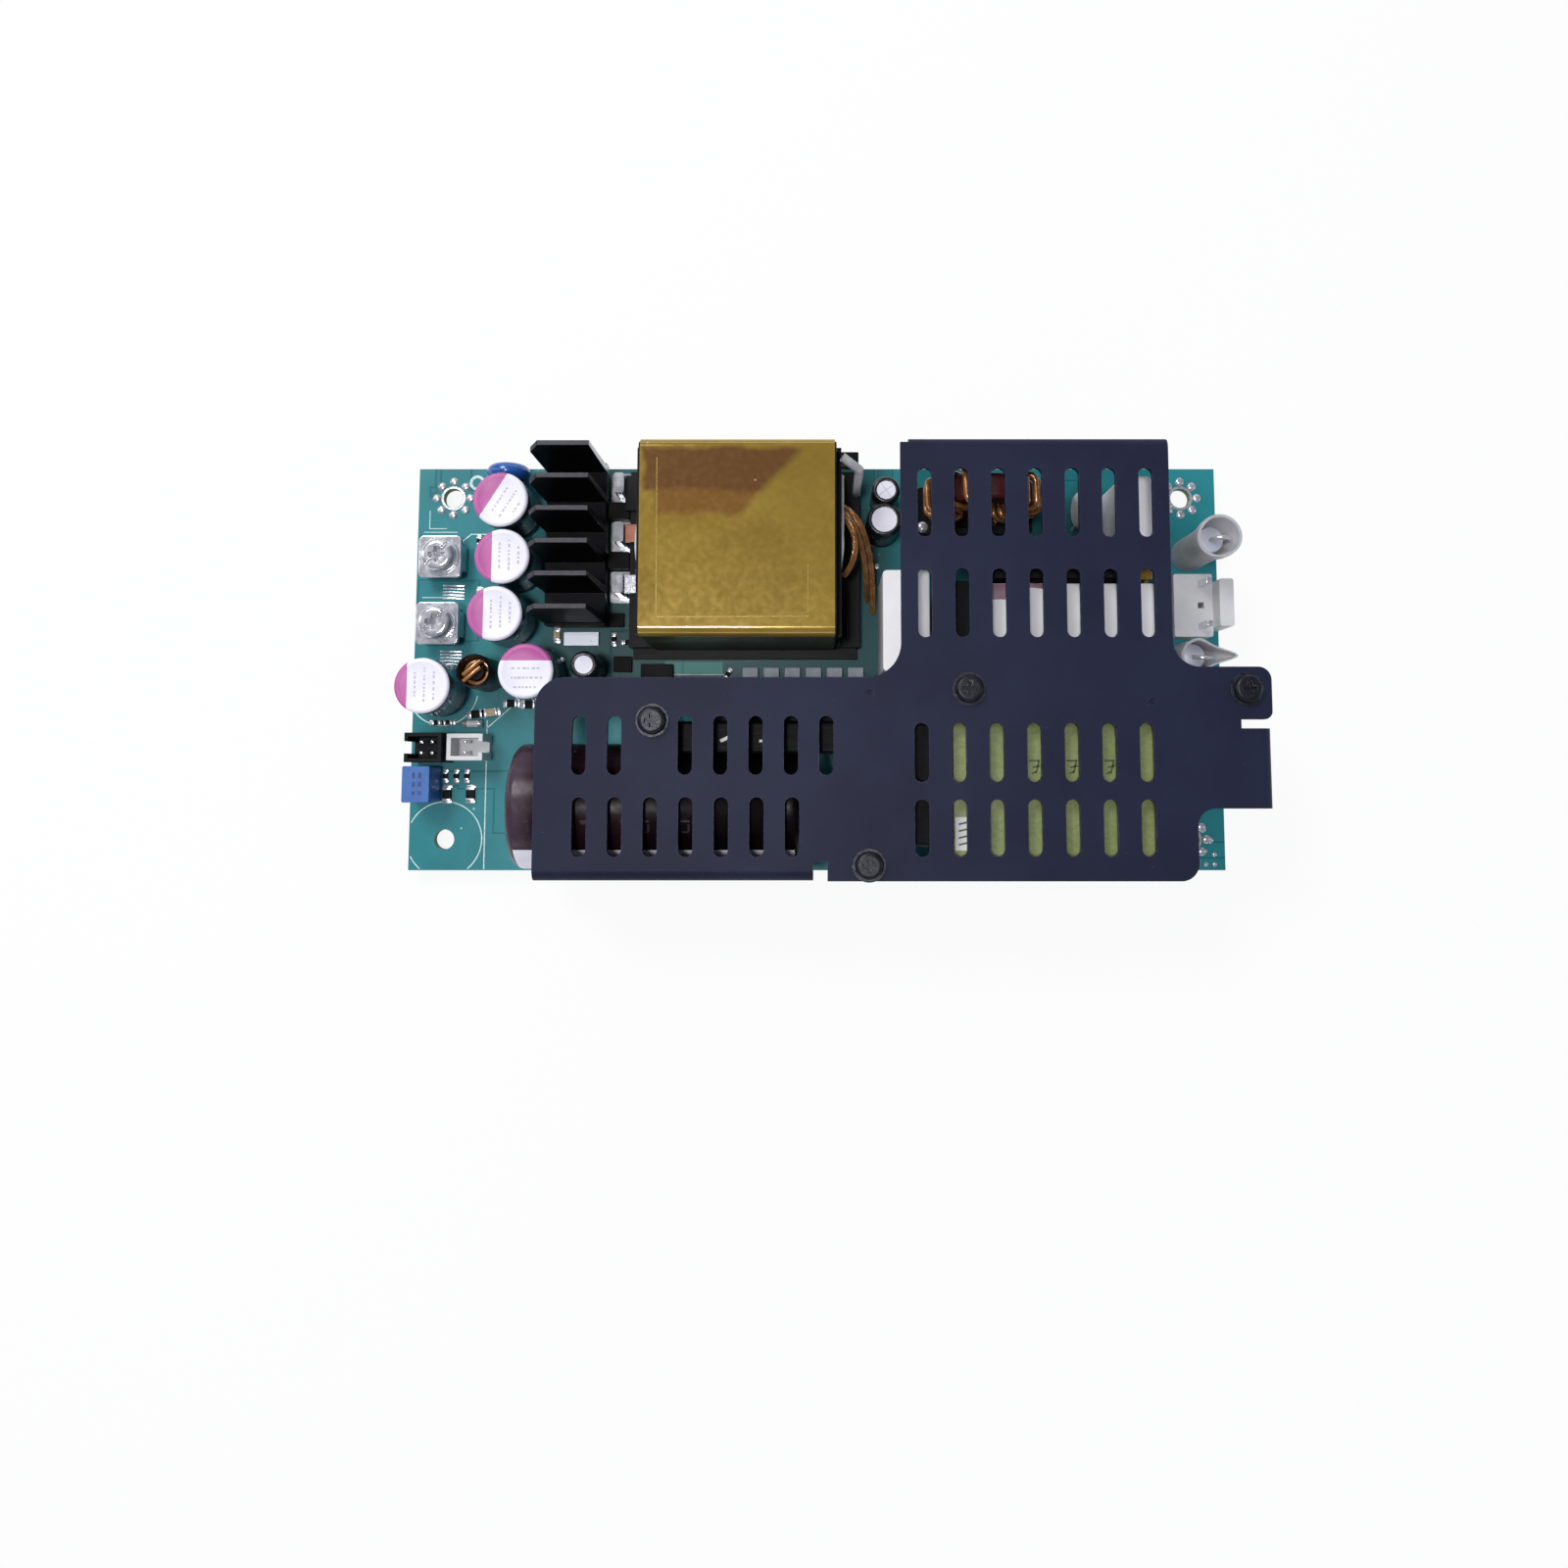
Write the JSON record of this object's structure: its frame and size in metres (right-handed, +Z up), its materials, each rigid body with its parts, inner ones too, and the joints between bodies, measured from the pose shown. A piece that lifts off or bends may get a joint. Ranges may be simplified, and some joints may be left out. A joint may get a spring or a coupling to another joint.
{
  "type": "open frame power supply",
  "caption": "Flat circuit board with a gold wrapped transformer, pale round capacitors and a finned sink, half covered by a slotted black folded sheet.",
  "frame": {"origin": "centre of the four mounting holes on the board's underside", "axes": "+X along the board from the output side to the mains side, +Y towards the main transformer, +Z up off the parts side of the board"},
  "size_m": [0.1528, 0.0763, 0.0299],
  "materials": {
    "amber_tape": "glossy polyimide tape",
    "black_anodised": "black anodised, cut ends bare",
    "black_can_sleeve": "black sleeve, bare bright top",
    "black_epoxy": "moulded epoxy",
    "black_nylon": "moulded, fine texture",
    "black_screws": "black oxide, oiled",
    "black_sheet": "satin black paint",
    "black_sleeve": "shrink sleeve",
    "blue_epoxy": "dipped epoxy",
    "blue_plastic": "moulded blue",
    "brass_screw": "bright",
    "copper_foil": "bare copper strip",
    "enamelled_copper": "enamelled copper wire",
    "ferrite": "ground ferrite",
    "fuse_ceramic": "cream ceramic tube",
    "grey_ceramic": "fired ceramic with tinned ends",
    "maroon_sleeve": "dark maroon sleeve with a white stripe",
    "nickel_brass": "nickel plated brass",
    "olive_tape": "yellow green polyester tape",
    "polymer_can": "pale lacquered can with a magenta segment",
    "red_core": "coated ring core",
    "shunt_metal": "bare metal strip",
    "solder": "bright solder",
    "solder_mask": "green solder mask with white print and tinned pads",
    "tinned_metal": "bright tin plate",
    "white_box": "moulded box filled with resin",
    "white_coating": "dipped coating",
    "white_nylon": "natural nylon",
    "white_sleeve": "soft translucent sleeve",
    "winding_tape": "wrapped margin tape",
    "zinc_screws": "bright zinc plate"
  },
  "bodies": {
    "root": {"circuit_board": "solder_mask", "safety_cover": "black_sheet", "cover_screws": "black_screws", "cover_standoffs": "nickel_brass", "standoff_screws": "zinc_screws", "solder_joints": "solder", "rectifier_heatsink": "black_anodised", "rectifier_transistors": "black_epoxy", "transformer_core": "ferrite", "transformer_bobbin": "black_nylon", "transformer_winding": "winding_tape", "transformer_tape": "amber_tape", "transformer_leads": "enamelled_copper", "lead_sleeve": "white_sleeve", "secondary_foils": "copper_foil", "secondary_lugs": "tinned_metal", "output_capacitor_1": "polymer_can", "output_capacitor_2": "polymer_can", "output_capacitor_3": "polymer_can", "output_capacitor_4": "polymer_can", "output_capacitor_5": "polymer_can", "rod_choke_core": "ferrite", "rod_choke_winding": "enamelled_copper", "rod_choke_sleeve": "black_sleeve", "output_terminal_positive": "tinned_metal", "output_terminal_negative": "tinned_metal", "terminal_screws": "zinc_screws", "signal_header": "black_nylon", "signal_header_pins": "tinned_metal", "fan_header": "white_nylon", "fan_header_pins": "tinned_metal", "trimmer_body": "blue_plastic", "trimmer_screw": "brass_screw", "bulk_capacitor": "maroon_sleeve", "bulk_capacitor_leads": "tinned_metal", "bias_capacitors": "black_can_sleeve", "shunt_resistor": "shunt_metal", "chip_blocks": "grey_ceramic", "control_chips": "black_epoxy", "disc_capacitor": "blue_epoxy", "film_capacitor": "white_box", "line_capacitor": "white_box", "corner_capacitor": "white_box", "varistor": "white_coating", "common_mode_core": "red_core", "common_mode_windings": "enamelled_copper", "common_mode_base": "black_nylon", "filter_choke_core": "ferrite", "filter_choke_winding": "amber_tape", "boost_choke_core": "ferrite", "boost_choke_bobbin": "black_nylon", "boost_choke_tape": "olive_tape", "bridge_rectifier": "black_epoxy", "primary_heatsink": "black_anodised", "primary_transistors": "black_epoxy", "mains_header": "white_nylon", "mains_header_pins": "tinned_metal", "fuse_bodies": "fuse_ceramic", "fuse_leads": "tinned_metal", "fuse_sleeves": "white_sleeve"}
  },
  "joints": []
}
